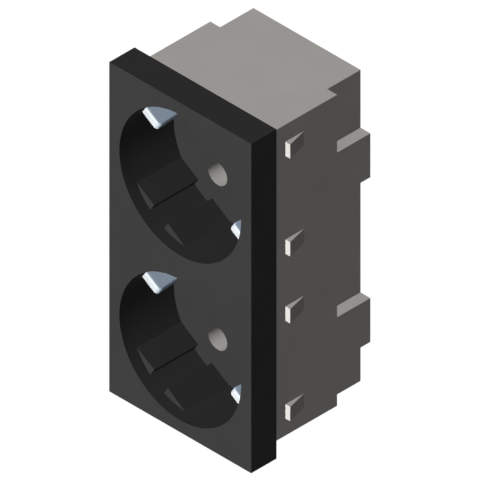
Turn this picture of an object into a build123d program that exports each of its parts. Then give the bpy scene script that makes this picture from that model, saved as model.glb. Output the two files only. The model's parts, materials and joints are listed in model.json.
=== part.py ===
from build123d import *
from math import atan2, cos, degrees, hypot, radians, sin
import os

# Double socket outlet for a panel, a trunking lid or a desk box. A dark front frame with two
# round plug recesses, and a pale housing that passes through a cut-out in the panel.
# Sizes are in mm. The origin is the centre of the frame's back plane, which meets the panel.
# X runs to the right, Y from the front to the rear, Z up.

# Plug recesses
recess_radius = 19.2
recess_depth = 17.0
recess_step = 0.2
recess_floor_wall = 1.6
cup_wall = 1.5
cup_side_wall = 0.45
pin_line_angle = 33.0
pin_spacing = 19.0
pin_hole_radius = 3.0
pin_hole_lip = 0.4

# Front frame: its rims around the recesses, and its lips around the housing
frame_end_rim = 3.3
frame_side_rim = 3.2
frame_end_lip = 2.5
frame_side_lip = 2.4
frame_depth = 8.0
frame_front_wall = 2.2

# Guide lugs on the pin line
lug_rise = 2.45
lug_start = 3.1
lug_groove = 5.2

# Earth clips, folded from sheet
clip_reach = 5.5
clip_width = 2.35
clip_sheet = 0.6
clip_front_depth = 4.4
clip_nose_round = 1.0
clip_edge_round = 0.55
clip_wall_gap = 0.2
clip_inner_lean = 2.86
clip_outer_lean = 2.6
clip_root_radius = 0.75
clip_root_inset = 2.8
pocket_depth = 1.1
pocket_wall = 0.5
pocket_start = 3.9

# Housing
housing_depth = 32.0
housing_wall = 1.6
rebate_start = 21.5
rebate_depth = 3.1
block_height = 12.0
block_drop = 1.8

# Latch wedges on the housing's sides
latch_reach = 1.5
latch_height = 3.9
latch_length = 5.9
latch_setback = 5.2
latch_spread = 13.35

# Insulating carrier and the earth bridge in front of it
bridge_sheet = 0.8
bridge_width = 5.0
yoke_inset = 1.0
strap_reach = 4.5
carrier_plate = 2.0
carrier_margin = 0.7
sleeve_wall = 0.9
nest_wall = 1.0
nest_height = 3.6
saddle_wall = 1.3
saddle_height = 3.1

# Pin contacts and rails
contact_bore = 2.35
contact_sheet = 0.6
contact_length = 11.5
contact_flare = 0.4
contact_flare_length = 1.4
contact_slot = 1.2
tail_length = 6.4
rail_sheet = 0.8
rail_width = 4.2
rail_past_contact = 9.5
rail_before_contact = 1.0
rivet_shank = 0.8
rivet_head = 1.2
rivet_head_height = 0.5
rivet_setback = 1.8

# Terminals
entry_offset = 5.0
entry_size = 3.0
entry_funnel = 0.5
block_contact_gap = 0.98
block_end_wall = 1.4
block_side_wall = 1.1
block_divider = 2.2
block_skin = 1.8
block_rail_gap = 0.4
block_lip = 1.0
flag_offset = 6.4
flag_half_width = 2.6
spring_sheet = 0.4
spring_half_width = 2.4
spring_past_flag = 0.2
spring_tip_length = 6.1
spring_bend = 1.0
spring_post = 1.4

# Release buttons
button_stem_width = 3.2
button_stem_height = 3.8
button_sink = 0.3
button_travel = 1.6
button_plate = 1.2
button_half_width = 2.6
button_half_height = 6.0
button_notch = 3.2
button_notch_start = 3.0
button_foot_length = 3.5
button_foot_start = 3.2
button_foot_end = 4.4

# Screws
screw_past_recess = 0.27
screw_angle = 39.2
screw_boss_half = 2.5
screw_shank = 1.25
screw_length = 12.0
screw_head = 2.6
screw_head_height = 1.5
screw_cross = 2.8
screw_cross_width = 0.6
screw_cross_depth = 0.8
well_depth = 3.0
well_wall = 1.2
well_floor = 1.6

# Clearances
fit_gap = 0.05
slide_gap = 0.1
free_gap = 0.3

# Front frame and housing, around the two recesses
socket_pitch = 2 * (recess_radius + frame_end_rim)
frame_width = 2 * (recess_radius + frame_side_rim)
frame_height = 2 * socket_pitch
housing_width = frame_width - 2 * frame_side_lip
housing_height = frame_height - 2 * frame_end_lip

# Depths of the layers, from the front face to the rear
front_y = -frame_depth
wall_back_y = front_y + frame_front_wall
floor_y = front_y + recess_depth
floor_back_y = floor_y + recess_floor_wall
bridge_back_y = floor_back_y + bridge_sheet
carrier_back_y = bridge_back_y + carrier_plate
rail_back_y = carrier_back_y + rail_width
contact_back_y = carrier_back_y + contact_length
rear_y = housing_depth
rear_inner_y = rear_y - housing_wall
boss_end_y = rear_y - well_depth - well_floor
block_front_y = rail_back_y + block_rail_gap
plate_back_y = rear_y - block_skin - free_gap
plate_front_y = plate_back_y - button_plate
flag_back_y = plate_front_y - button_travel - slide_gap

# Places in the front view
upper = socket_pitch / 2
lower = -socket_pitch / 2
pin_reach = pin_spacing / 2
pin_x = pin_reach * sin(radians(pin_line_angle))
pin_z = pin_reach * cos(radians(pin_line_angle))
cavity_width = housing_width - 2 * housing_wall
cavity_height = housing_height - 2 * housing_wall
rear_width = housing_width - 2 * rebate_depth
nose_x = recess_radius - clip_reach
screw_reach = recess_radius + screw_past_recess
screw_x = screw_reach * sin(radians(screw_angle))
screw_z = upper + screw_reach * cos(radians(screw_angle))
contact_radius = contact_bore + contact_sheet
sleeve_half = pin_hole_radius + sleeve_wall
nest_inner = contact_radius + free_gap
nest_half = nest_inner + nest_wall
block_width = rear_width - 2 * (housing_wall + free_gap)
chamber_width = (block_width - 2 * (block_side_wall + block_divider)) / 3
pole_pitch = chamber_width + block_divider
rail_face_x = pin_x + contact_radius
rail_middle_x = rail_face_x + rail_sheet / 2
pole_places = {"live": -pole_pitch, "earth": 0.0, "neutral": pole_pitch}
corners = [(sx * screw_x, sz * screw_z) for sx in (-1, 1) for sz in (-1, 1)]

# Places of the live side; the neutral side is the same, turned half round about Y
live_pins = {"upper": upper - pin_z, "lower": lower - pin_z}
block_half_height = live_pins["upper"] - contact_radius - block_contact_gap
rail_top = live_pins["upper"] + rail_past_contact
rail_bottom = live_pins["lower"] - rail_before_contact
saddle_heights = (rail_top - saddle_wall, lower + pin_z - contact_radius)


def between(profile, start, end):
    """Carry a profile drawn in the front view from one depth to another."""
    return extrude(Plane.XZ.offset(-start) * profile, amount=start - end)


def at_socket(sketch, height):
    """Place a sketch drawn about a socket's own pin line."""
    return Pos(0, height) * Rot(0, 0, -pin_line_angle) * sketch


def turned(shape):
    """The same shape, turned half round about Y, from the live side to the neutral side."""
    return Rot(0, 180, 0) * shape


def cup_outline(height):
    """Outer outline of a recess cup: a full wall that thins where the housing's side is close."""
    inside = Rectangle(cavity_width - 2 * slide_gap, cavity_height - 2 * slide_gap)
    pocket = Rectangle(
        2 * (recess_radius + pocket_depth + pocket_wall),
        clip_width + 2 * (free_gap + cup_wall),
    )
    full = Pos(0, height) * Circle(recess_radius + cup_wall) + at_socket(pocket, height)
    return Pos(0, height) * Circle(recess_radius + cup_side_wall) + (full & inside)


def recess_outline(height):
    """Recess below its mouth: a slightly smaller circle less two lugs, each with its groove."""
    middle = recess_radius - lug_rise / 2
    lug = Rectangle(2 * recess_radius, lug_rise) - Rectangle(lug_groove, lug_rise)
    lugs = Pos(0, middle) * lug + Pos(0, -middle) * lug
    # The circle starts between a lug and a clip, clear of both
    return at_socket(Rot(0, 0, 45) * Circle(recess_radius - recess_step) - lugs, height)


def recess_cup(height):
    """Cup behind the front wall, drawn as one outline for each layer of its depth.

    Lugs start below the mouth, clip pockets a little deeper, and the floor has the clips' slots
    and the pin holes, which widen behind a thin lip to seat the carrier's sleeves.
    """
    outline = cup_outline(height)
    slot_width = clip_width + 2 * free_gap
    slot_inner = nose_x - free_gap
    pocket_outer = recess_radius + pocket_depth
    slot = Rectangle(recess_radius - slot_inner, slot_width)
    slot = Pos((slot_inner + recess_radius) / 2, 0) * slot
    pocket = Rectangle(pocket_outer - nose_x, slot_width)
    pocket = Pos((nose_x + pocket_outer) / 2, 0) * pocket
    pin = Pos(0, pin_reach) * Circle(pin_hole_radius)
    seat = Rectangle(2 * (sleeve_half + slide_gap), 2 * (sleeve_half + slide_gap))
    half_turn = Rot(0, 0, 180)
    slots = at_socket(slot + half_turn * slot, height)
    pockets = at_socket(pocket + half_turn * pocket, height)
    pins = at_socket(pin + half_turn * pin, height)
    seats = Pos(pin_x, height + pin_z) * seat + Pos(-pin_x, height - pin_z) * seat
    mouth = Pos(0, height) * Circle(recess_radius)
    recess = recess_outline(height)
    lug_y = front_y + lug_start
    pocket_y = front_y + pocket_start
    lip_y = floor_y + pin_hole_lip
    cup = between(outline - mouth, wall_back_y, lug_y)
    cup += between(outline - recess, lug_y, pocket_y)
    cup += between(outline - recess - pockets, pocket_y, floor_y)
    cup += between(outline - slots - pins, floor_y, lip_y)
    cup += between(outline - slots - seats, lip_y, floor_back_y)
    return cup


def front_cover():
    frame = Rectangle(frame_width, frame_height)
    hollow = Rectangle(housing_width + 2 * slide_gap, housing_height + 2 * slide_gap)
    mouths = [Pos(0, height) * Circle(recess_radius) for height in (upper, lower)]
    cover = between(frame - mouths, front_y, wall_back_y)
    cover += between(frame - hollow, wall_back_y, 0)
    for height in (upper, lower):
        cover += recess_cup(height)
    for x, z in corners:
        boss = Pos(x, z) * Rectangle(2 * screw_boss_half, 2 * screw_boss_half)
        cover += between(boss - mouths, wall_back_y, floor_y)
        cover += between(boss, floor_y, boss_end_y)
        pilot = Pos(x, z) * Circle(screw_shank + fit_gap)
        cover -= between(pilot, boss_end_y - screw_length, boss_end_y)
    return cover


def latch_wedge(side, height):
    """A wedge that is tall at the front, where it grips the panel, and runs out to the rear."""
    face = housing_width / 2
    outline = Polyline(
        (face - housing_wall / 2, latch_setback),
        (face + latch_reach, latch_setback),
        (face, latch_setback + latch_length),
        (face - housing_wall / 2, latch_setback + latch_length),
        close=True,
    )
    wedge = extrude(make_face(outline), amount=latch_height / 2, both=True)
    wedge = Pos(0, 0, height) * wedge
    return wedge if side > 0 else mirror(wedge, about=Plane.YZ)


def rear_housing():
    full = Rectangle(housing_width, housing_height)
    narrow = Rectangle(rear_width, housing_height)
    shoulder_y = rebate_start - housing_wall
    housing = between(full, wall_back_y, rebate_start)
    housing += between(narrow, rebate_start, rear_y)
    for height in (upper, lower):
        block = Pos(0, height - block_drop) * Rectangle(housing_width, block_height)
        housing += between(block, rebate_start, rear_y)
    housing -= between(Rectangle(cavity_width, cavity_height), wall_back_y, shoulder_y)
    rear_cavity = Rectangle(rear_width - 2 * housing_wall, cavity_height)
    housing -= between(rear_cavity, shoulder_y, rear_inner_y)
    cup_room = recess_radius + cup_side_wall + fit_gap
    for height in (upper, lower):
        inside = Rectangle(cavity_width, block_height - 2 * housing_wall)
        block = Pos(0, height - block_drop) * inside
        housing -= between(block, shoulder_y, rear_inner_y)
        room = Pos(0, height) * Circle(cup_room)
        housing -= between(room, wall_back_y, floor_back_y + free_gap)
    well_radius = screw_head + 2 * slide_gap
    well = Rectangle(2 * (well_radius + well_wall), 2 * (well_radius + well_wall))
    for x, z in corners:
        housing += between(Pos(x, z) * well, boss_end_y, rear_y)
    for x, z in corners:
        housing -= between(Pos(x, z) * Circle(well_radius), rear_y - well_depth, rear_y)
        hole = Pos(x, z) * Circle(screw_shank + free_gap)
        housing -= between(hole, boss_end_y, rear_y)
    window = Rectangle(
        block_width - 2 * block_lip + 2 * slide_gap,
        2 * (block_half_height - block_lip + slide_gap),
    )
    housing -= between(window, rear_inner_y, rear_y)
    for height in saddle_heights:
        rib = Rectangle(rail_sheet + 2 * saddle_wall, housing_wall)
        rib = between(Pos(-rail_middle_x, height) * rib, rail_back_y, rear_inner_y)
        housing += rib + turned(rib)
    for side in (-1, 1):
        for height in (upper, lower):
            for spread in (-latch_spread, latch_spread):
                housing += latch_wedge(side, height + spread)
    return housing


def contact_carrier():
    plate_half = upper + pin_z + nest_half + carrier_margin
    plate = Rectangle(cavity_width - 4 * slide_gap, 2 * plate_half)
    for x, z in corners:
        corner = Rectangle(2 * (screw_boss_half + free_gap), 2 * (screw_boss_half + free_gap))
        plate -= Pos(x, z) * corner
    tab_slot = Rectangle(
        2 * (flag_half_width + slide_gap), bridge_sheet + 2 * slide_gap
    )
    for side in (-1, 1):
        plate -= Pos(0, side * (flag_offset + bridge_sheet / 2)) * tab_slot
    carrier = between(plate, bridge_back_y, carrier_back_y)
    for side in (-1, 1):
        bar = Pos(0, side * (block_half_height - block_end_wall / 2))
        bar = bar * Rectangle(block_width, block_end_wall)
        carrier += between(bar, carrier_back_y, block_front_y)
    sleeve = Rectangle(2 * sleeve_half, 2 * sleeve_half)
    nest = Rectangle(2 * nest_half, 2 * nest_half)
    pocket = Rectangle(2 * nest_inner, 2 * nest_inner)
    nest_back_y = carrier_back_y + nest_height
    for height in live_pins.values():
        for z, turn in ((height, 1), (-height, -1)):
            place = Pos(-turn * pin_x, z)
            carrier += between(place * sleeve, floor_y + pin_hole_lip, bridge_back_y)
            carrier += between(place * nest, carrier_back_y, nest_back_y)
    for height in saddle_heights:
        saddle = Rectangle(rail_sheet + 2 * saddle_wall, 2 * housing_wall)
        saddle = between(
            Pos(-rail_middle_x, height) * saddle, carrier_back_y, carrier_back_y + saddle_height
        )
        carrier += saddle + turned(saddle)
    for x in pole_places.values():
        post = Pos(x, 0) * Rectangle(2 * spring_half_width, spring_post)
        carrier += between(post, carrier_back_y, flag_back_y - 3 * spring_bend)
    for height in live_pins.values():
        for z, turn in ((height, 1), (-height, -1)):
            place = Pos(-turn * pin_x, z)
            carrier -= between(place * pocket, carrier_back_y, block_front_y)
            hole = place * Circle(pin_hole_radius)
            carrier -= between(hole, floor_y + pin_hole_lip, carrier_back_y)
    # The rail's channel also opens each nest where the contact's tail leaves it
    channel_inner = rail_face_x - contact_sheet - rivet_head_height - slide_gap
    channel_outer = rail_face_x + rail_sheet + slide_gap
    rail_slot = Rectangle(rail_sheet + 2 * slide_gap, rail_top - rail_bottom + 2 * free_gap)
    rail_slot = Pos(-rail_middle_x, (rail_top + rail_bottom) / 2) * rail_slot
    rail_slot = between(rail_slot, carrier_back_y, block_front_y)
    carrier = carrier - rail_slot - turned(rail_slot)
    for height in live_pins.values():
        reach = tail_length + free_gap
        room = Rectangle(channel_outer - channel_inner, reach)
        room = Pos(-(channel_inner + channel_outer) / 2, height + reach / 2) * room
        room = between(room, carrier_back_y, nest_back_y)
        carrier = carrier - room - turned(room)
    return carrier


def earth_bridge():
    yoke = Rectangle(2 * (recess_radius - yoke_inset), bridge_width)
    # The strap runs from a point on one yoke to the same point on the other
    end_x = strap_reach * cos(radians(pin_line_angle))
    end_z = upper - strap_reach * sin(radians(pin_line_angle))
    strap = Rectangle(bridge_width, 2 * hypot(end_x, end_z))
    outline = Rot(0, 0, -degrees(atan2(end_x, end_z))) * strap
    outline += Rectangle(
        2 * flag_half_width + bridge_sheet, 2 * (flag_offset + bridge_sheet)
    )
    for height in (upper, lower):
        outline += at_socket(yoke, height)
    bridge = between(outline, floor_back_y, bridge_back_y)
    tab = Rectangle(2 * flag_half_width, bridge_sheet)
    for side in (-1, 1):
        place = Pos(0, side * (flag_offset + bridge_sheet / 2))
        bridge += between(place * tab, floor_back_y, flag_back_y)
    return bridge


def live_rail():
    """Strip on edge behind the carrier, with two flags that the wires are clamped against."""
    strip = Rectangle(rail_sheet, rail_top - rail_bottom)
    strip = Pos(-rail_middle_x, (rail_top + rail_bottom) / 2) * strip
    rail = between(strip, carrier_back_y, rail_back_y)
    flag_outer = pole_pitch + flag_half_width
    flag = Rectangle(flag_outer - rail_face_x, rail_sheet)
    for side in (-1, 1):
        height = side * (flag_offset + rail_sheet / 2)
        place = Pos(-(flag_outer + rail_face_x) / 2, height)
        rail += between(place * flag, carrier_back_y, flag_back_y)
    for height in live_pins.values():
        rail -= rivet_hole(height)
    return rail


def rivet_place(height):
    """Centre of the rivet through a live contact's tail, on the rail's face."""
    rivet_z = height + tail_length - rivet_setback
    return Pos(-rail_face_x, carrier_back_y + rail_width / 2, rivet_z)


def rivet_hole(height):
    through = 2 * (rail_sheet + contact_sheet)
    return rivet_place(height) * Rot(0, 90, 0) * Cylinder(rivet_shank + fit_gap, through)


def live_contact(height):
    """Rolled sleeve with a coned mouth, split into two jaws, and a tail along the rail."""
    outer = Circle(contact_radius)
    bore = Circle(contact_bore)
    sleeve = between(outer - bore, carrier_back_y, contact_back_y)
    entry = Cone(contact_bore + contact_flare, contact_bore, contact_flare_length)
    sleeve -= Pos(0, carrier_back_y + contact_flare_length / 2, 0) * Rot(-90, 0, 0) * entry
    tail = Pos(-contact_radius + contact_sheet / 2, tail_length / 2)
    tail = tail * Rectangle(contact_sheet, tail_length)
    sleeve += between(tail - bore, carrier_back_y, rail_back_y)
    front_gap = Pos(contact_radius, 0) * Rectangle(2 * contact_radius, contact_slot)
    sleeve -= between(front_gap, carrier_back_y, contact_back_y)
    rear_gap = Pos(-contact_radius, 0) * Rectangle(2 * contact_radius, contact_slot)
    sleeve -= between(rear_gap, rail_back_y + free_gap, contact_back_y)
    return Pos(-pin_x, 0, height) * sleeve - rivet_hole(height)


def contact_rivets():
    """Four rivets, two on each rail, each with a head on the tail and a flush shank."""
    rivets = []
    for height in live_pins.values():
        inner = -contact_sheet - rivet_head_height
        profile = Polyline(
            (0, inner),
            (rivet_head, inner),
            (rivet_head, -contact_sheet),
            (rivet_shank, -contact_sheet),
            (rivet_shank, rail_sheet),
            (0, rail_sheet),
            close=True,
        )
        rivet = revolve(make_face(profile), axis=Axis.Y)
        rivet = rivet_place(height) * Rot(0, 0, 90) * rivet
        rivets += [rivet, turned(rivet)]
    return Compound(children=rivets)


def earth_clip(side, height):
    """Folded channel whose closed edge faces the plug, standing on a rounded root.

    It is drawn for the right-hand wall of a socket whose pin line is upright, with X as the
    distance from the socket's centre.
    """
    root_y = floor_back_y - fit_gap - clip_root_radius
    bottom_y = floor_y + free_gap
    outer_front = recess_radius - clip_wall_gap
    front = front_y + clip_front_depth
    inner_bottom = nose_x + (bottom_y - front) * sin(radians(clip_inner_lean))
    outer_bottom = outer_front - (bottom_y - front) * sin(radians(clip_outer_lean))
    outline = Polyline(
        (outer_front, front),
        (nose_x, front),
        (inner_bottom, bottom_y),
        (outer_bottom, bottom_y),
        close=True,
    )
    blade = make_face(outline)
    nose = blade.vertices().sort_by(Axis.X)[0]
    blade = fillet(nose, clip_nose_round)
    blade = extrude(blade, amount=clip_width / 2, both=True)
    # The rounded edges are those of the two sides, apart from the ones at the foot and the wall
    inner = outer_bottom - clip_root_radius
    rounded = [
        edge
        for edge in blade.edges().filter_by(Axis.Z, reverse=True)
        if edge.center().X < inner and edge.center().Y < bottom_y - fit_gap
    ]
    blade = fillet(rounded, clip_edge_round)
    hollow = Polyline(
        (outer_front + clip_sheet, front + clip_sheet),
        (nose_x + clip_sheet, front + clip_sheet),
        (inner_bottom + clip_sheet, bottom_y - clip_sheet),
        (outer_front + clip_sheet, bottom_y - clip_sheet),
        close=True,
    )
    hollow = extrude(make_face(hollow), amount=clip_width / 2 - clip_sheet, both=True)
    root_x = recess_radius - clip_root_inset
    root = Pos(root_x, root_y, 0) * Cylinder(clip_root_radius, clip_width)
    clip = blade - hollow + root
    if side < 0:
        clip = turned(clip)
    return Pos(0, 0, height) * Rot(0, pin_line_angle, 0) * clip


def clamp_spring(pole, side):
    """Leaf spring: a leg along the post, a bend, and a leg that leans out to the wire."""
    leg = spring_post / 2 + spring_sheet
    crest_y = flag_back_y + spring_past_flag
    inner_face = FilletPolyline(
        (block_front_y + free_gap, leg),
        (crest_y, leg),
        (crest_y - spring_tip_length, flag_offset - slide_gap - spring_sheet),
        radius=spring_bend,
    )
    outline = offset(inner_face, amount=spring_sheet, side=Side.RIGHT, closed=True)
    leaf = extrude(Plane.YZ * make_face(outline), amount=spring_half_width, both=True)
    if side < 0:
        leaf = mirror(leaf, about=Plane.XY)
    return Pos(pole_places[pole], 0, 0) * leaf


def terminal_block():
    """Moulding with a chamber for each pole, and wire entries and button slots at the rear."""
    chamber_end = rear_y - block_skin
    shoulder = Rectangle(block_width, 2 * block_half_height)
    nose = Rectangle(block_width - 2 * block_lip, 2 * (block_half_height - block_lip))
    block = between(shoulder, block_front_y, rear_inner_y)
    block += between(nose, rear_inner_y, rear_y)
    chamber = Rectangle(chamber_width, 2 * (block_half_height - block_end_wall))
    slot = Rectangle(button_stem_width + 2 * free_gap, button_stem_height + 2 * free_gap)
    entry = Rectangle(entry_size, entry_size)
    for x in pole_places.values():
        block -= between(Pos(x, 0) * chamber, block_front_y, chamber_end)
        block -= between(Pos(x, 0) * slot, chamber_end, rear_y)
        for side in (-1, 1):
            block -= between(Pos(x, side * entry_offset) * entry, chamber_end, rear_y)
    entry_edges = [
        edge
        for edge in block.edges().filter_by_position(Axis.Y, rear_y, rear_y)
        if abs(abs(edge.center().Z) - entry_offset) < entry_size / 2 + entry_funnel
    ]
    return chamfer(entry_edges, entry_funnel)


def release_button(pole):
    """Stem in its slot, and a plate behind the skin with feet either side of each wire."""
    plate = Rectangle(2 * button_half_width, 2 * button_half_height)
    notch_length = button_half_height - button_notch_start
    notch = Rectangle(button_notch, notch_length)
    foot = Rectangle(2 * button_half_width, button_foot_end - button_foot_start)
    foot -= Rectangle(button_notch, button_foot_end)
    for side in (-1, 1):
        plate -= Pos(0, side * (button_notch_start + notch_length / 2)) * notch
    button = between(plate, plate_front_y, plate_back_y)
    for side in (-1, 1):
        middle = side * (button_foot_start + button_foot_end) / 2
        foot_y = plate_back_y - button_foot_length
        button += between(Pos(0, middle) * foot, foot_y, plate_front_y)
    stem = Rectangle(button_stem_width, button_stem_height)
    button += between(stem, plate_front_y, rear_y - button_sink)
    return Pos(pole_places[pole], 0, 0) * button


def housing_screws():
    """Four screws with a cross recess, in the wells of the rear wall."""
    screws = []
    seat_y = boss_end_y + well_floor
    for x, z in corners:
        head = between(Circle(screw_head), seat_y, seat_y + screw_head_height)
        head = chamfer(head.edges().sort_by(Axis.Y)[-1], screw_head_height / 3)
        shank = between(Circle(screw_shank), seat_y - screw_length, seat_y)
        cross = Rectangle(screw_cross, screw_cross_width)
        cross += Rectangle(screw_cross_width, screw_cross)
        end_y = seat_y + screw_head_height
        screw = head + shank - between(cross, end_y - screw_cross_depth, end_y)
        screws.append(Pos(x, 0, z) * screw)
    return Compound(children=screws)


parts = {
    "front_cover": front_cover(),
    "rear_housing": rear_housing(),
    "contact_carrier": contact_carrier(),
    "terminal_block": terminal_block(),
    "earth_bridge": earth_bridge(),
    "live_rail": live_rail(),
    "neutral_rail": turned(live_rail()),
    "contact_rivets": contact_rivets(),
    "housing_screws": housing_screws(),
}
for name, height in live_pins.items():
    parts[f"live_contact_{name}"] = live_contact(height)
    opposite = "lower" if name == "upper" else "upper"
    parts[f"neutral_contact_{opposite}"] = turned(live_contact(height))
for row, height in (("upper", upper), ("lower", lower)):
    parts[f"earth_clip_{row}_left"] = earth_clip(-1, height)
    parts[f"earth_clip_{row}_right"] = earth_clip(1, height)
for pole in pole_places:
    parts[f"release_button_{pole}"] = release_button(pole)
    parts[f"clamp_spring_{pole}_upper"] = clamp_spring(pole, 1)
    parts[f"clamp_spring_{pole}_lower"] = clamp_spring(pole, -1)

os.makedirs("parts", exist_ok=True)
for name, shape in parts.items():
    export_step(shape, f"parts/{name}.step")
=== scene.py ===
"""Looks of a double socket outlet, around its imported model.

Every length is in metres, in the frame of the model: X to the right, Y from the front to the
rear, Z up, with the origin at the centre of the front frame's back plane.
"""

from __future__ import annotations

import json
import logging
from dataclasses import dataclass
from enum import Enum
from math import cos, pi, radians, sin
from typing import Any, Sequence

import bmesh
import bpy
import numpy as np
from mathutils import Matrix, Vector

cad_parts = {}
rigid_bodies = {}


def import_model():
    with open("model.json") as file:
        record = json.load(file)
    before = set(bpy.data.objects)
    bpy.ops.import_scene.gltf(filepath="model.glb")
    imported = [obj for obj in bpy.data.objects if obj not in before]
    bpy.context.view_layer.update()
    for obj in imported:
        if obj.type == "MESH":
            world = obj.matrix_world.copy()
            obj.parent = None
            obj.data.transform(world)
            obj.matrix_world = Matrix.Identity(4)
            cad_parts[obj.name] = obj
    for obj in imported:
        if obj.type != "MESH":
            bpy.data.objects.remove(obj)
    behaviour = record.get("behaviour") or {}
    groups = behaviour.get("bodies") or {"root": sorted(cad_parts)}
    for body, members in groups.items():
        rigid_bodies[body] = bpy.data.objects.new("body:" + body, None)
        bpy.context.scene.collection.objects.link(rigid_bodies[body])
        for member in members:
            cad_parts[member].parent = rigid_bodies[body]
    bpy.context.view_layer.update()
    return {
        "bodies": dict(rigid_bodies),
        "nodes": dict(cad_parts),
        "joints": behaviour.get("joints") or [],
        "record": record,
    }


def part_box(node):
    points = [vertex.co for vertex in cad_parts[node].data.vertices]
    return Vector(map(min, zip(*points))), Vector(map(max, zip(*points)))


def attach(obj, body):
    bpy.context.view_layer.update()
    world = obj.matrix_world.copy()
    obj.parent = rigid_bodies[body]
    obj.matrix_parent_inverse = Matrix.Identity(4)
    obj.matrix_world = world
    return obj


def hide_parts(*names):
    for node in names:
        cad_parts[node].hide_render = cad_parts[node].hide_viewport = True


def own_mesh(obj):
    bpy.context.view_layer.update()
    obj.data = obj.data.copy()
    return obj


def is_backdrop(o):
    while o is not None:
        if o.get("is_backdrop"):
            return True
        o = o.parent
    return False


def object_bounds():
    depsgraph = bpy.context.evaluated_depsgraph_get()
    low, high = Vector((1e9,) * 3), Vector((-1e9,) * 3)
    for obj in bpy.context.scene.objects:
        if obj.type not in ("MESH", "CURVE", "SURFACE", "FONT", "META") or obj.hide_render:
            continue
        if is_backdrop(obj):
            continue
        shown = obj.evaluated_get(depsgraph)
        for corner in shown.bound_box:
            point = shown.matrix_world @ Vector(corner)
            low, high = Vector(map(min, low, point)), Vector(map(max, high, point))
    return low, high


Colour = tuple[float, float, float]
Triple = tuple[float, float, float]
Frame = dict[str, Any]

LOG = logging.getLogger("outlet")
MM = 0.001
WHITE: Colour = (1.0, 1.0, 1.0)

# Corners of a node's loose triangles that are nearer than this are one point.
SEAM = 0.0005 * MM

# Octaves and middle of a noise, and the stretch of one that isn't drawn out.
PLAIN_OCTAVES = 2.0
RICH_OCTAVES = 3.0
NOISE_MIDDLE = 0.5
EVEN: Triple = (1.0, 1.0, 1.0)

# Numbers of a Mix node's sockets: its two values, its two colours and the colour that comes out.
MIX_VALUES = (2, 3)
MIX_COLOURS = (6, 7)
MIX_COLOUR_OUT = 2


def linear(red: int, green: int, blue: int) -> Colour:
    """Scene-linear colour of an 8-bit display colour.

    Each channel c, from 0 to 1, becomes ((c + 0.055) / 1.055) ** 2.4, or c / 12.92 below 0.04045.

    Args:
        red: Red, 0 to 255.
        green: Green, 0 to 255.
        blue: Blue, 0 to 255.

    Returns:
        The linear red, green and blue.
    """
    shown = np.array([red, green, blue]) / 255
    values = np.where(shown <= 0.04045, shown / 12.92, ((shown + 0.055) / 1.055) ** 2.4)
    return (float(values[0]), float(values[1]), float(values[2]))


class Sock:
    """An output socket. Where it carries a value, Python's operators add Math nodes to it."""

    def __init__(self, graph: Graph, socket: bpy.types.NodeSocket) -> None:
        """Wrap an output socket of one of the graph's nodes."""
        self.graph = graph
        self.socket = socket

    def _join(self, operation: str, left: Sock | float, right: Sock | float) -> Sock:
        """Add a Math node for one operator."""
        return self.graph.node("ShaderNodeMath", {"operation": operation}, {0: left, 1: right})

    def __add__(self, other: Sock | float) -> Sock:
        """Sum."""
        return self._join("ADD", self, other)

    def __radd__(self, other: Sock | float) -> Sock:
        """Sum, with the number first."""
        return self._join("ADD", other, self)

    def __sub__(self, other: Sock | float) -> Sock:
        """Difference."""
        return self._join("SUBTRACT", self, other)

    def __rsub__(self, other: Sock | float) -> Sock:
        """Difference, with the number first."""
        return self._join("SUBTRACT", other, self)

    def __mul__(self, other: Sock | float) -> Sock:
        """Product."""
        return self._join("MULTIPLY", self, other)

    def __rmul__(self, other: Sock | float) -> Sock:
        """Product, with the number first."""
        return self._join("MULTIPLY", other, self)


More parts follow.
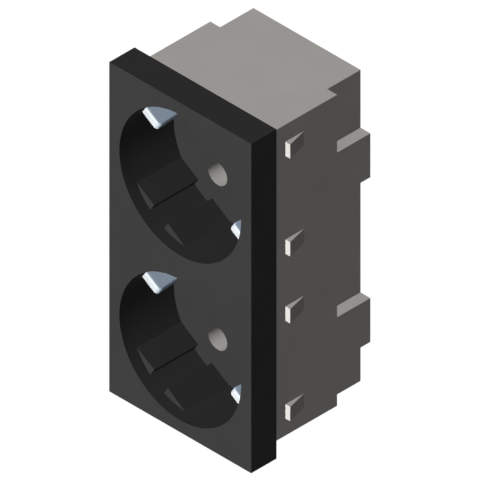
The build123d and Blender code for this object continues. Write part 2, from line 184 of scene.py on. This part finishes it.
class Graph:
    """A material's node tree with its Principled shader."""

    def __init__(self, name: str) -> None:
        """Make a material with one Principled shader.

        Args:
            name: The material's name.
        """
        self.material = bpy.data.materials.new(name)
        self.material.use_nodes = True
        self.tree = self.material.node_tree
        self.shader = self.tree.nodes["Principled BSDF"]
        self.place = self.node("ShaderNodeTexCoord", {}, {}, output="Object")

    def node(
        self,
        kind: str,
        settings: dict[str, Any],
        inputs: dict[int | str, Any],
        output: int | str = 0,
    ) -> Sock:
        """Add one node.

        Args:
            kind: The node's type.
            settings: Its properties, which are set first.
            inputs: A value or a Sock for each socket that is set.
            output: Which output to return.

        Returns:
            The chosen output.
        """
        made = self.tree.nodes.new(kind)
        for key, value in settings.items():
            setattr(made, key, value)
        for key, value in inputs.items():
            if isinstance(value, Sock):
                self.tree.links.new(value.socket, made.inputs[key])
            else:
                made.inputs[key].default_value = value
        return Sock(self, made.outputs[output])

    def noise(self, scale: float, octaves: float, stretch: Triple = EVEN) -> Sock:
        """Fractal noise in Object coordinates.

        Args:
            scale: Features for each metre.
            octaves: How many finer layers it has.
            stretch: Scale along each axis, to draw the noise out.

        Returns:
            The noise, 0 to 1.
        """
        place = self.node("ShaderNodeMapping", {}, {"Vector": self.place, "Scale": stretch})
        inputs = {"Vector": place, "Scale": scale, "Detail": octaves}
        return self.node("ShaderNodeTexNoise", {}, inputs)

    def ramp(self, value: Sock, low: float, high: float) -> Sock:
        """Map a value so that low becomes 0 and high becomes 1, with both ends held."""
        inputs = {"Value": value, "From Min": low, "From Max": high}
        return self.node("ShaderNodeMapRange", {}, inputs)

    def mix(self, factor: Sock, first: Colour | Sock, second: Colour | Sock) -> Sock:
        """Mix two colours.

        Args:
            factor: 0 for the first, 1 for the second.
            first: A colour or a socket that carries one.
            second: A colour or a socket that carries one.

        Returns:
            The mixed colour.
        """
        pair = [c if isinstance(c, Sock) else (*c, 1.0) for c in (first, second)]
        inputs = {"Factor": factor, **dict(zip(MIX_COLOURS, pair))}
        return self.node("ShaderNodeMix", {"data_type": "RGBA"}, inputs, output=MIX_COLOUR_OUT)

    def bump(self, height: Sock, depth: float) -> Sock:
        """Bend the normal by a height from 0 to 1, for a relief of a depth in metres."""
        return self.node("ShaderNodeBump", {}, {"Height": height, "Distance": depth})

    def set(self, **values: Any) -> bpy.types.Material:
        """Set or link the shader's sockets, given by name with _ for each space.

        Args:
            values: A number, a colour or a Sock for each socket.

        Returns:
            The material.
        """
        for key, value in values.items():
            socket = self.shader.inputs[key.replace("_", " ")]
            if isinstance(value, Sock):
                self.tree.links.new(value.socket, socket)
            elif socket.type == "RGBA":
                socket.default_value = (*value, 1.0)
            else:
                socket.default_value = value
        return self.material


@dataclass(frozen=True)
class SatinPlastic:
    """Moulded plastic with a fine spark-eroded grain and a faint cloudiness.

    Each scale is in features for each metre, each swing is how far a noise moves the roughness,
    and the band is the part of the slow noise that the colour follows.
    """

    slot: str
    colour: Colour
    roughness: float = 0.48
    grain_scale: float = 9000.0
    grain_depth: float = 0.005 * MM
    grain_share: float = 0.7
    fine_scale: float = 1400.0
    gloss_swing: float = 0.12
    cloud: float = 0.02
    cloud_scale: float = 90.0
    cloud_band: tuple[float, float] = (0.3, 0.7)
    specular: float = 0.016
    # Strength of a faint, even white glow: painted light that stands in for fill light.
    painted_glow: float = 0.0

    def material(self) -> bpy.types.Material:
        """Build the material.

        A slow noise varies the colour by the share called cloud, a fine one varies the
        roughness, and the relief is the fine one and the grain added together. A faint, even white
        glow is painted light that stands in for fill light, so that the shade is never quite
        black.

        Returns:
            The material.
        """
        graph = Graph(self.slot)
        slow = graph.noise(self.cloud_scale, PLAIN_OCTAVES)
        fine = graph.noise(self.fine_scale, RICH_OCTAVES)
        grain = graph.noise(self.grain_scale, PLAIN_OCTAVES)
        light = tuple(min(1.0, c * (1 + self.cloud)) for c in self.colour)
        dark = tuple(c * (1 - self.cloud) for c in self.colour)
        relief = grain * self.grain_share + fine * (1 - self.grain_share)
        return graph.set(
            Base_Color=graph.mix(graph.ramp(slow, *self.cloud_band), dark, light),
            Roughness=self.roughness + (fine - NOISE_MIDDLE) * self.gloss_swing,
            Normal=graph.bump(relief, self.grain_depth),
            Specular_IOR_Level=self.specular,
            # The even white glow is painted light, in place of fill light.
            Emission_Color=WHITE,
            Emission_Strength=self.painted_glow,
        )


@dataclass(frozen=True)
class SheetMetal:
    """Rolled sheet, plated or bare, with fine rolling lines along one axis.

    Its scales, swings and band mean what they do in a plastic. The numbers called lines are the
    stretch of the lines' noise.
    """

    slot: str
    colour: Colour
    roughness: float = 0.28
    metallic: float = 1.0
    lines: Triple = (1.0, 0.04, 1.0)
    line_scale: float = 9000.0
    line_depth: float = 0.002 * MM
    line_swing: float = 0.1
    slow_scale: float = 260.0
    slow_swing: float = 0.08
    tarnish: float = 0.12
    tarnish_band: tuple[float, float] = (0.35, 0.7)
    specular: float = 0.5

    def tint(self, graph: Graph, slow: Sock) -> Sock:
        """Colour of the sheet, dulled where the slow noise is high by the share called tarnish."""
        dull = tuple(c * (1 - self.tarnish) for c in self.colour)
        return graph.mix(graph.ramp(slow, *self.tarnish_band), self.colour, dull)

    def material(self) -> bpy.types.Material:
        """Build the material.

        Rolling lines are noise drawn out along one axis. They bend the normal, and together with
        the slow noise they vary the roughness.

        Returns:
            The material.
        """
        graph = Graph(self.slot)
        lines = graph.noise(self.line_scale, PLAIN_OCTAVES, self.lines)
        slow = graph.noise(self.slow_scale, RICH_OCTAVES)
        uneven = (lines - NOISE_MIDDLE) * self.line_swing
        return graph.set(
            Base_Color=self.tint(graph, slow),
            Roughness=self.roughness + uneven + (slow - NOISE_MIDDLE) * self.slow_swing,
            Metallic=self.metallic,
            Specular_IOR_Level=self.specular,
            Normal=graph.bump(lines, self.line_depth),
        )


@dataclass(frozen=True)
class ClipPlating(SheetMetal):
    """Plated sheet with a painted highlight: its colour turns whiter along the front edge.

    It is shaded as a glossy non-metal, because a metal would mirror the white studio and lose
    its shades.
    """

    # White of the painted highlight along the front edge.
    painted_highlight: Colour = linear(236, 243, 247)
    front: float = -3.6 * MM
    depth: float = 0.6 * MM

    def tint(self, graph: Graph, slow: Sock) -> Sock:
        """Colour of the sheet, which goes from a painted highlight's white at the front to the
        plating's.

        Args:
            graph: The material's graph.
            slow: The slow noise.

        Returns:
            The colour.
        """
        along = graph.node("ShaderNodeSeparateXYZ", {}, {"Vector": graph.place}, output="Y")
        behind = graph.ramp(along, self.front, self.front + self.depth)
        return graph.mix(behind, self.painted_highlight, super().tint(graph, slow))


class Finish(Enum):
    """The finishes of the outlet, each for the material slot that it names."""

    # The cover glows faintly and evenly: painted light that keeps its shade from going quite black.
    COVER = SatinPlastic(
        "cover_black", linear(61, 61, 61), roughness=0.5, cloud=0.03, specular=0.006, painted_glow=0.0035
    )
    HOUSING = SatinPlastic("housing_grey", linear(236, 232, 227))
    # The carrier's own pale grey, lifted a little above the housing's as painted light that makes up
    # for the shade inside the pin holes.
    CARRIER = SatinPlastic("carrier_grey", linear(242, 239, 234), roughness=0.5)
    BLOCK = SatinPlastic("block_grey", linear(176, 177, 178))
    BUTTON = SatinPlastic("button_black", linear(66, 66, 67), roughness=0.4, cloud=0.03)
    CLIP = ClipPlating(
        "clip_silver",
        linear(212, 232, 255),
        roughness=0.5,
        metallic=0.0,
        tarnish=0.01,
        specular=1.0,
    )
    BRASS = SheetMetal("contact_brass", linear(226, 192, 120))
    NICKEL = SheetMetal("contact_nickel", linear(214, 210, 202), roughness=0.42, metallic=0.6)
    SPRING = SheetMetal("spring_steel", linear(205, 206, 208), roughness=0.3)
    SCREW = SheetMetal("screw_steel", linear(214, 216, 216), roughness=0.3, lines=EVEN)


class Wardrobe:
    """Materials of the finishes, each built once, on first use."""

    def __init__(self) -> None:
        """Start with no material built."""
        self._built: dict[Finish, bpy.types.Material] = {}

    def material(self, finish: Finish) -> bpy.types.Material:
        """Material of a finish.

        Args:
            finish: The finish.

        Returns:
            Its material.
        """
        if finish not in self._built:
            self._built[finish] = finish.value.material()
        return self._built[finish]

    def dress(self, piece: bpy.types.Object, finish: Finish) -> None:
        """Give a piece one finish all over.

        Args:
            piece: A node or a new piece.
            finish: Its finish.
        """
        piece.data.materials.clear()
        piece.data.materials.append(self.material(finish))
        LOG.info("%s: %s", piece.name, finish.value.slot)


def merged_copy(node: bpy.types.Object, name: str) -> bpy.types.Object:
    """Copy a node as a new piece whose loose triangles share their corners.

    Normals and sharp edges that came with the triangles no longer fit the joined mesh, and are
    left out.

    Args:
        node: The node.
        name: The piece's name.

    Returns:
        The piece.
    """
    form = bmesh.new()
    form.from_mesh(node.data)
    bmesh.ops.remove_doubles(form, verts=form.verts, dist=SEAM)
    mesh = bpy.data.meshes.new(name)
    form.to_mesh(mesh)
    form.free()
    for stale in ("custom_normal", "sharp_edge", "sharp_face"):
        if stale in mesh.attributes:
            mesh.attributes.remove(mesh.attributes[stale])
    piece = bpy.data.objects.new(name, mesh)
    bpy.context.scene.collection.objects.link(piece)
    return piece


def read(items: Any, key: str, width: int) -> np.ndarray:
    """Read one property of all a mesh's vertices or faces as an array of rows.

    Args:
        items: The mesh's vertices or faces.
        key: The property.
        width: Numbers in each row.

    Returns:
        The rows.
    """
    flat = np.empty(len(items) * width, np.float32)
    items.foreach_get(key, flat)
    return flat.reshape(-1, width)


def shade(piece: bpy.types.Object, sharpest: float = 16.0) -> None:
    """Shade a piece smoothly, apart from edges that turn by more than an angle in degrees."""
    piece.data.polygons.foreach_set("use_smooth", np.ones(len(piece.data.polygons), bool))
    piece.data.set_sharp_from_angle(angle=radians(sharpest))


def surface(name: str, grid: np.ndarray, wardrobe: Wardrobe, finish: Finish, body: str) -> None:
    """Make a closed tube from a grid of points that is closed around and capped at both ends.

    Row i of the grid is one ring, and quad (i, j) joins points (i, j), (i, j + 1),
    (i + 1, j + 1) and (i + 1, j), with j counted round the ring.

    Args:
        name: The piece's name.
        grid: Points as rings by points by three coordinates.
        wardrobe: Where its material comes from.
        finish: Its finish.
        body: The body that it rides on.
    """
    rings, around = grid.shape[:2]
    first, step = np.meshgrid(np.arange(rings - 1) * around, np.arange(around), indexing="ij")
    after = (step + 1) % around
    quads = np.stack([first + step, first + after, first + around + after, first + around + step])
    quads = quads.reshape(4, -1).T
    caps = [list(range(around))[::-1], list(range((rings - 1) * around, rings * around))]
    mesh = bpy.data.meshes.new(name)
    mesh.from_pydata(grid.reshape(-1, 3).tolist(), [], quads.tolist() + caps)
    mesh.validate()
    piece = bpy.data.objects.new(name, mesh)
    bpy.context.scene.collection.objects.link(piece)
    wardrobe.dress(piece, finish)
    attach(piece, body)


@dataclass
class FrontCover:
    """Dark front frame with its two plug recesses, one moulding."""

    node: str = "front_cover"
    body: str = "outlet"
    finish: Finish = Finish.COVER
    lip_finish: Finish = Finish.CARRIER
    mouth_radius: float = 19.2 * MM
    wall_radius: float = 19.0 * MM
    wall_start: float = -4.9 * MM
    floor_y: float = 9.0 * MM
    pin_spacing: float = 19.0 * MM
    pin_line: float = 33.0
    pin_hole_radius: float = 3.0 * MM
    near: float = 0.02 * MM

    def build(self, frame: Frame, wardrobe: Wardrobe) -> None:
        """Copy the cover, draft the walls of its recesses and dress it, with pale hole lips.

        Each recess is in the middle of its half of the frame.

        Args:
            frame: The loaded model.
            wardrobe: Where its materials come from.
        """
        piece = merged_copy(frame["nodes"][self.node], "cover_shell")
        heights = [corner.z / 2 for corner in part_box(self.node)]
        mesh = piece.data
        points = read(mesh.vertices, "co", 3)
        for height in heights:
            points = self.drafted(points, height)
        mesh.vertices.foreach_set("co", points.ravel())
        wardrobe.dress(piece, self.finish)
        mesh.materials.append(wardrobe.material(self.lip_finish))
        centres = read(mesh.polygons, "center", 3)
        lips = np.zeros(len(centres), np.int32)
        for height in heights:
            lips |= self.in_lip(centres, height)
        mesh.polygons.foreach_set("material_index", lips)
        shade(piece)
        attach(piece, self.body)
        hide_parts(self.node)

    def drafted(self, points: np.ndarray, height: float) -> np.ndarray:
        """Lean a recess's wall out, so that it meets the mouth with no step.

        A point on the wall's circle gets the radius that falls evenly with depth, from the
        mouth's radius where the wall starts to the wall's own radius at the floor.

        Args:
            points: Points of the cover.
            height: Z of the recess's centre.

        Returns:
            The points, with those of this wall moved.
        """
        across, above = points[:, 0], points[:, 2] - height
        radius = np.hypot(across, above)
        on_wall = np.abs(radius - self.wall_radius) < self.near
        on_wall &= points[:, 1] < self.floor_y + self.near
        depth = (points[:, 1] - self.wall_start) / (self.floor_y - self.wall_start)
        wanted = self.mouth_radius + (self.wall_radius - self.mouth_radius) * depth
        scale = np.where(on_wall, wanted / np.maximum(radius, self.near), 1.0)
        return np.column_stack([across * scale, points[:, 1], above * scale + height])

    def in_lip(self, centres: np.ndarray, height: float) -> np.ndarray:
        """Which faces line the pin holes of one recess.

        Args:
            centres: Centres of the faces.
            height: Z of the recess's centre.

        Returns:
            1 for each such face, and otherwise 0.
        """
        lean = radians(self.pin_line)
        reach = self.pin_spacing / 2
        inside = np.zeros(len(centres), bool)
        for side in (-1, 1):
            across = centres[:, 0] - side * reach * sin(lean)
            above = centres[:, 2] - height - side * reach * cos(lean)
            inside |= np.hypot(across, above) < self.pin_hole_radius + self.near
        return inside.astype(np.int32)


@dataclass
class RearHousing:
    """Pale housing with its latch wedges, one moulding."""

    node: str = "rear_housing"
    finish: Finish = Finish.HOUSING

    def dress(self, frame: Frame, wardrobe: Wardrobe) -> None:
        """Finish the housing."""
        wardrobe.dress(frame["nodes"][self.node], self.finish)


@dataclass
class HousingScrews:
    """Four screws that hold the housing, and the thread on their shanks."""

    node: str = "housing_screws"
    body: str = "outlet"
    finish: Finish = Finish.SCREW
    head_radius: float = 2.6 * MM
    thread_root: float = 1.2 * MM
    thread_crest: float = 1.42 * MM
    thread_half_width: float = 0.3 * MM
    pitch: float = 1.2 * MM
    threaded: float = 8.4 * MM
    steps_per_turn: int = 20
    run_out: float = 0.08
    least_rise: float = 0.02

    def helix(self, centre: tuple[float, float], start: float) -> np.ndarray:
        """Ridge of one screw, as rings of three points along a helix about Y.

        The ridge's middle climbs one pitch each turn. Its root points lie half a width either
        side at the root radius, and its crest point is at the crest radius, which falls nearly
        to the root radius over the run-out share at each end.

        Args:
            centre: The screw's X and Z.
            start: Y of the thread's first turn.

        Returns:
            The grid of points.
        """
        count = int(self.threaded / self.pitch * self.steps_per_turn) + 1
        share = np.linspace(0.0, 1.0, count)
        angle = 2 * pi * self.threaded / self.pitch * share
        rise = np.clip(np.minimum(share, 1 - share) / self.run_out, self.least_rise, 1.0)
        radius = np.stack(
            [
                np.full(count, self.thread_root),
                self.thread_root + (self.thread_crest - self.thread_root) * rise,
                np.full(count, self.thread_root),
            ],
            axis=1,
        )
        aside = self.thread_half_width * np.array([-1.0, 0.0, 1.0])
        along = start + self.threaded * share[:, None] + aside
        across = centre[0] + radius * np.cos(angle)[:, None]
        above = centre[1] + radius * np.sin(angle)[:, None]
        return np.stack([across, along, above], axis=2)

    def build(self, wardrobe: Wardrobe) -> None:
        """Add the ridge of each screw's thread, from one pitch behind its point.

        Args:
            wardrobe: Where its material comes from.
        """
        low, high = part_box(self.node)
        start = low.y + self.pitch
        for row, z in (("lower", low.z + self.head_radius), ("upper", high.z - self.head_radius)):
            for side, x in (("left", low.x + self.head_radius), ("right", high.x - self.head_radius)):
                name = f"screw_thread_{row}_{side}"
                surface(name, self.helix((x, z), start), wardrobe, self.finish, self.body)

    def dress(self, frame: Frame, wardrobe: Wardrobe) -> None:
        """Finish the screws."""
        wardrobe.dress(frame["nodes"][self.node], self.finish)


@dataclass
class EarthPath:
    """Earth bridge with its two yokes, and the four sprung clips that stand on them."""

    bridge: str = "earth_bridge"
    clip_stem: str = "earth_clip"

    def dress(self, frame: Frame, wardrobe: Wardrobe) -> None:
        """Finish the bridge in bare brass and the clips in bright plating.

        Args:
            frame: The loaded model.
            wardrobe: Where their materials come from.
        """
        wardrobe.dress(frame["nodes"][self.bridge], Finish.BRASS)
        for row in ("upper", "lower"):
            for side in ("left", "right"):
                wardrobe.dress(frame["nodes"][f"{self.clip_stem}_{row}_{side}"], Finish.CLIP)


@dataclass
class PoleContacts:
    """Insulating carrier, two rails, four rolled contacts and the rivets that join them."""

    carrier: str = "contact_carrier"
    rivets: str = "contact_rivets"
    poles: tuple[str, ...] = ("live", "neutral")

    def dress(self, frame: Frame, wardrobe: Wardrobe) -> None:
        """Finish the carrier, the brass rails and rivets, and the plated contacts.

        Args:
            frame: The loaded model.
            wardrobe: Where their materials come from.
        """
        nodes = frame["nodes"]
        wardrobe.dress(nodes[self.carrier], Finish.CARRIER)
        wardrobe.dress(nodes[self.rivets], Finish.BRASS)
        for pole in self.poles:
            wardrobe.dress(nodes[f"{pole}_rail"], Finish.BRASS)
            for row in ("upper", "lower"):
                wardrobe.dress(nodes[f"{pole}_contact_{row}"], Finish.NICKEL)


@dataclass
class Terminals:
    """Terminal block with its clamp springs and release buttons."""

    block: str = "terminal_block"
    body: str = "outlet"
    poles: tuple[str, ...] = ("live", "earth", "neutral")
    fixed_leg: float = 0.7 * MM
    pressed_share: float = 0.75

    def spring(self, frame: Frame, wardrobe: Wardrobe, pole: str, row: str) -> None:
        """Copy a clamp spring as a smoothly shaded piece of its own, in place of its node.

        Args:
            frame: The loaded model.
            wardrobe: Where its material comes from.
            pole: The pole that it clamps.
            row: Upper or lower.
        """
        node = f"clamp_spring_{pole}_{row}"
        piece = merged_copy(frame["nodes"][node], f"spring_leaf_{pole}_{row}")
        wardrobe.dress(piece, Finish.SPRING)
        shade(piece)
        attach(piece, self.body)
        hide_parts(node)
        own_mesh(piece)

    def dress(self, frame: Frame, wardrobe: Wardrobe) -> None:
        """Finish the block, the springs and the buttons.

        Args:
            frame: The loaded model.
            wardrobe: Where their materials come from.
        """
        nodes = frame["nodes"]
        wardrobe.dress(nodes[self.block], Finish.BLOCK)
        for pole in self.poles:
            wardrobe.dress(nodes[f"release_button_{pole}"], Finish.BUTTON)
            for row, side in (("upper", 1), ("lower", -1)):
                self.spring(frame, wardrobe, pole, row)


@dataclass(frozen=True)
class Sun:
    """A distant lamp, by its strength, the direction towards it and its spread in degrees.

    A plain one throws no shadow, and its light doesn't go on from one surface to another.
    """

    strength: float
    towards: Triple
    spread: float = 6.0
    plain: bool = True


class Lamp(Enum):
    """The lamps of the studio, each named for the side of the object that it stands on."""

    FRONT = Sun(3.19, (0.027, -0.956, 0.330))
    RIGHT = Sun(0.11, (1.0, 0.0, 0.0))
    LEFT = Sun(0.09, (-1.0, 0.0, 0.0))
    UNDER = Sun(0.13, (0.0, 0.0, -1.0))
    OVERHEAD = Sun(0.05, (-0.25, -0.35, 0.90), spread=25.0, plain=False)
    REAR = Sun(2.4, (-0.45, 0.89, 0.0), spread=1.0, plain=False)


@dataclass
class Studio:
    """Floor, lamps, world and camera.

    The model's origin falls on the photograph's pixel centre_px, and px_per_mm is the
    photograph's scale square to the line of sight.
    """

    centre_px: tuple[float, float] = (205.56, 253.01)
    frame_px: float = 480.0
    px_per_mm: float = 4.4826
    azimuth: float = 45.0
    elevation: float = 35.2644
    camera_distance: float = 0.6
    floor_half: float = 1.2
    ambient: float = 0.02
    floor_glow: float = 1.09
    floor_share: float = 0.9
    floor_grey: float = 0.8
    floor_roughness: float = 0.9
    floor_drop: float = 0.02 * MM

    def build(self) -> None:
        """Make the whole studio."""
        bpy.context.scene.view_settings.view_transform = "Standard"
        self._floor()
        self._world()
        for lamp in Lamp:
            self._lamp(lamp)
        self._camera()

    @staticmethod
    def _lamp(lamp: Lamp) -> None:
        """Add one lamp.

        Args:
            lamp: Which lamp.
        """
        sun: Sun = lamp.value
        name = f"{lamp.name.lower()}_lamp"
        data = bpy.data.lights.new(name, "SUN")
        data.energy = sun.strength
        data.angle = radians(sun.spread)
        if sun.plain:
            data.use_shadow = False
            data.cycles.max_bounces = 0
        made = bpy.data.objects.new(name, data)
        made.rotation_euler = Vector(sun.towards).to_track_quat("Z", "Y").to_euler()
        bpy.context.scene.collection.objects.link(made)
        LOG.info("%s", name)

    def _world(self) -> None:
        """Set a plain grey world that the camera, mirrors and glass see as white."""
        world = bpy.data.worlds.new("studio")
        world.use_nodes = True
        tree = world.node_tree
        background = tree.nodes["Background"]
        background.inputs["Color"].default_value = (*WHITE, 1.0)
        mix = tree.nodes.new("ShaderNodeMix")
        for number, strength in zip(MIX_VALUES, (self.ambient, 1.0)):
            mix.inputs[number].default_value = strength
        tree.links.new(self._seen(tree), mix.inputs[0])
        tree.links.new(mix.outputs[0], background.inputs["Strength"])
        bpy.context.scene.world = world

    @staticmethod
    def _seen(tree: bpy.types.NodeTree) -> bpy.types.NodeSocket:
        """Add the largest of camera, glossy and transmission rays to a node tree.

        Args:
            tree: The world's or the floor's tree.

        Returns:
            A socket that is 1 where the camera, a mirror or glass looks, and otherwise 0.
        """
        path = tree.nodes.new("ShaderNodeLightPath")
        seen = path.outputs["Is Camera Ray"]
        for name in ("Is Glossy Ray", "Is Transmission Ray"):
            larger = tree.nodes.new("ShaderNodeMath")
            larger.operation = "MAXIMUM"
            tree.links.new(seen, larger.inputs[0])
            tree.links.new(path.outputs[name], larger.inputs[1])
            seen = larger.outputs[0]
        return seen

    def _floor(self) -> None:
        """Lay a pale square floor under the object, just clear of its underside."""
        half = self.floor_half
        low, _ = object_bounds()
        corners = np.array([(-half, -half), (half, -half), (half, half), (-half, half)])
        points = np.column_stack([corners, np.full(len(corners), low[2] - self.floor_drop)])
        mesh = bpy.data.meshes.new("floor")
        mesh.from_pydata(points.tolist(), [], [(0, 1, 2, 3)])
        floor = bpy.data.objects.new("floor", mesh)
        bpy.context.scene.collection.objects.link(floor)
        mesh.materials.append(self._floor_material())
        floor.visible_diffuse = False
        floor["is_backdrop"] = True

    def _floor_material(self) -> bpy.types.Material:
        """Make the pale floor, which looks white to the camera and still takes a soft shadow.

        Returns:
            The material.
        """
        graph = Graph("floor_pale")
        graph.set(Base_Color=(self.floor_grey,) * 3, Roughness=self.floor_roughness)
        tree = graph.tree
        glow = tree.nodes.new("ShaderNodeEmission")
        glow.inputs["Strength"].default_value = self.floor_glow
        share = tree.nodes.new("ShaderNodeMath")
        share.operation = "MULTIPLY"
        share.inputs[1].default_value = self.floor_share
        mix = tree.nodes.new("ShaderNodeMixShader")
        tree.links.new(self._seen(tree), share.inputs[0])
        tree.links.new(share.outputs[0], mix.inputs[0])
        tree.links.new(graph.shader.outputs[0], mix.inputs[1])
        tree.links.new(glow.outputs[0], mix.inputs[2])
        tree.links.new(mix.outputs[0], tree.nodes["Material Output"].inputs["Surface"])
        return graph.material

    def _camera(self) -> None:
        """Place the true isometric camera so that the model falls on the photograph's pixels."""
        side, up = radians(self.azimuth), radians(self.elevation)
        back = Vector((sin(side) * cos(up), -cos(side) * cos(up), sin(up)))
        right = Vector((cos(side), sin(side), 0.0))
        above = back.cross(right)
        middle = self.frame_px / 2
        across = (middle - self.centre_px[0]) / self.px_per_mm * MM
        rise = (self.centre_px[1] - middle) / self.px_per_mm * MM
        target = right * across + above * rise
        data = bpy.data.cameras.new("camera")
        data.type = "ORTHO"
        data.ortho_scale = self.frame_px / self.px_per_mm * MM
        camera = bpy.data.objects.new("camera", data)
        turn = Matrix((right, above, back)).transposed().to_4x4()
        camera.matrix_world = Matrix.Translation(target + back * self.camera_distance) @ turn
        bpy.context.scene.collection.objects.link(camera)
        bpy.context.scene.camera = camera


def main() -> None:
    """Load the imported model, build and dress its sub-assemblies, and set the studio."""
    logging.basicConfig(level=logging.INFO, format="%(message)s")
    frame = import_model()
    wardrobe = Wardrobe()
    screws = HousingScrews()
    screws.build(wardrobe)
    FrontCover().build(frame, wardrobe)
    for assembly in (RearHousing(), PoleContacts(), EarthPath(), Terminals(), screws):
        assembly.dress(frame, wardrobe)
    Studio().build()


if __name__ == "__main__":
    main()
